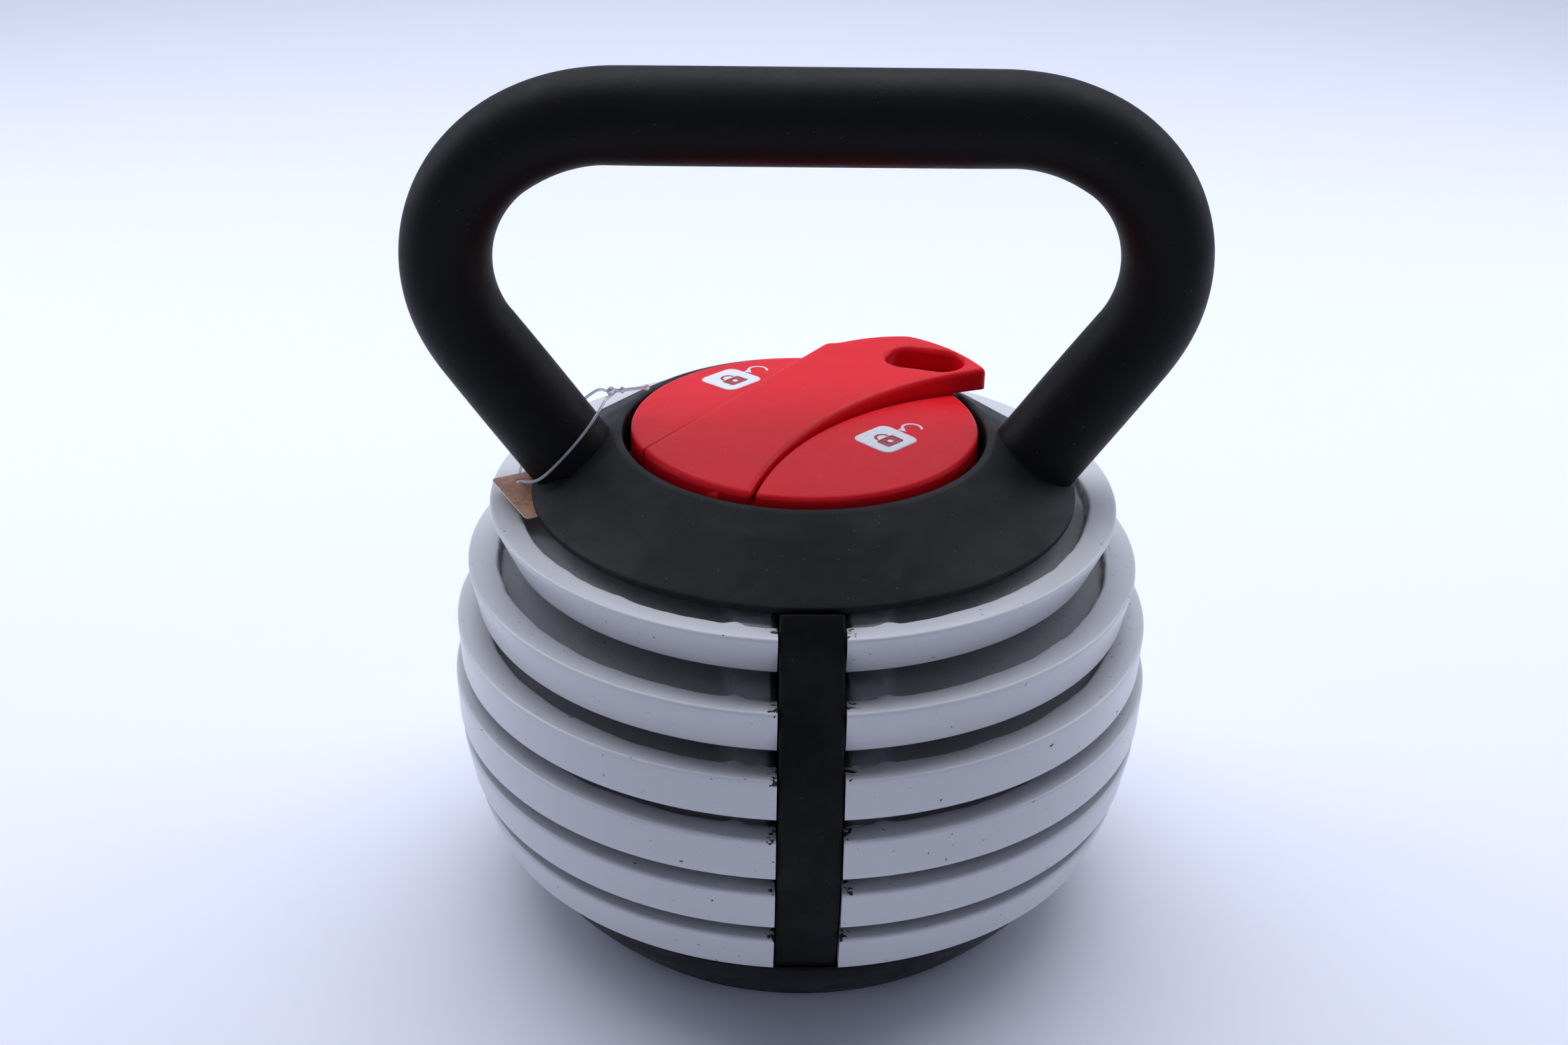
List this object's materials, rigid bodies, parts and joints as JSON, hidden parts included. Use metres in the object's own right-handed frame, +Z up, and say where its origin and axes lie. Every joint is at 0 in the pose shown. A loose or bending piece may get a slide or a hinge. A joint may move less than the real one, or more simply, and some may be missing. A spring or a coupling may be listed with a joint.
{
  "type": "adjustable kettlebell",
  "caption": "Adjustable kettlebell: slotted iron plates on a keyed stand, clamped by a bent-tube handle head with a round quarter-turn knob and flip lever.",
  "frame": {"origin": "on the resting surface, on the axis of the centre post", "axes": "+Z up along the post, +X along the grip bar, the spine that fills the plate slots faces -Y"},
  "size_m": [0.2428, 0.2202, 0.2689],
  "materials": {
    "black_iron": "satin black paint",
    "grey_iron": "glossy light grey enamel over cast iron",
    "black_powder_steel": "fine pebble black powder coat",
    "steel": "zinc-plated steel",
    "dark_steel": "black painted steel",
    "brass": "turned brass",
    "black_plastic": "satin moulded plastic",
    "collar_plastic": "soft matte moulded plastic",
    "red_plastic": "satin red moulded plastic",
    "rubber": "matte rubber",
    "white_plastic": "natural acetal",
    "label": "white printed label",
    "card": "printed card",
    "clear_nylon": "clear nylon"
  },
  "bodies": {
    "stand": {"base_casting": "black_iron", "base_cover": "dark_steel", "foot_ring": "rubber", "base_screws": "steel", "center_post": "steel", "post_bolt": "steel", "spine_fin": "dark_steel", "spine_cover": "black_plastic", "spine_rivets": "steel"},
    "plate_1": {"plate_1": "grey_iron"},
    "plate_2": {"plate_2": "grey_iron"},
    "plate_3": {"plate_3": "grey_iron"},
    "plate_4": {"plate_4": "grey_iron"},
    "plate_5": {"plate_5": "grey_iron"},
    "plate_6": {"plate_6": "grey_iron"},
    "head": {"handle_tube": "black_powder_steel", "top_plate": "dark_steel", "weld_beads": "dark_steel", "collar": "collar_plastic", "collar_screws": "steel", "clamp_pad": "rubber", "guide_fork": "dark_steel", "hub_bush": "white_plastic", "thrust_washer": "steel", "tag_card": "card", "tag_loop": "clear_nylon", "tag_lock": "clear_nylon"},
    "knob": {"knob_body": "red_plastic", "clamp_nut": "brass", "nut_screws": "steel", "retaining_ring": "steel", "label_front": "label", "label_rear": "label", "lever_pin": "steel", "lever_spring": "steel"},
    "lever": {"lever": "red_plastic"}
  },
  "joints": [
    {"name": "head_lift", "type": "slide", "parent": "stand", "child": "head", "axis": [0, 0, 1], "range_m": [0, 0.003]},
    {"name": "knob_turn", "type": "hinge", "parent": "head", "child": "knob", "pos_m": [0, 0, 0.155], "axis": [0, 0, 1], "range_deg": [0, 90]},
    {"name": "lever_lift", "type": "hinge", "parent": "knob", "child": "lever", "pos_m": [-0.03288, -0.035, 0.1549], "axis": [0.7071, -0.7071, 0], "range_deg": [0, 25], "stiffness_Nm_per_rad": 0.05, "springref_deg": -34.38},
    {"name": "plate_1_slide", "type": "slide", "parent": "stand", "child": "plate_1", "axis": [0, 1, 0], "range_m": [0, 0.23]},
    {"name": "plate_2_slide", "type": "slide", "parent": "stand", "child": "plate_2", "axis": [0, 1, 0], "range_m": [0, 0.23]},
    {"name": "plate_3_slide", "type": "slide", "parent": "stand", "child": "plate_3", "axis": [0, 1, 0], "range_m": [0, 0.23]},
    {"name": "plate_4_slide", "type": "slide", "parent": "stand", "child": "plate_4", "axis": [0, 1, 0], "range_m": [0, 0.23]},
    {"name": "plate_5_slide", "type": "slide", "parent": "stand", "child": "plate_5", "axis": [0, 1, 0], "range_m": [0, 0.23]},
    {"name": "plate_6_slide", "type": "slide", "parent": "stand", "child": "plate_6", "axis": [0, 1, 0], "range_m": [0, 0.23]}
  ],
  "couplings": [
    {"joint": "knob_turn", "follows": "head_lift", "rad_per_m": 523.59}
  ]
}
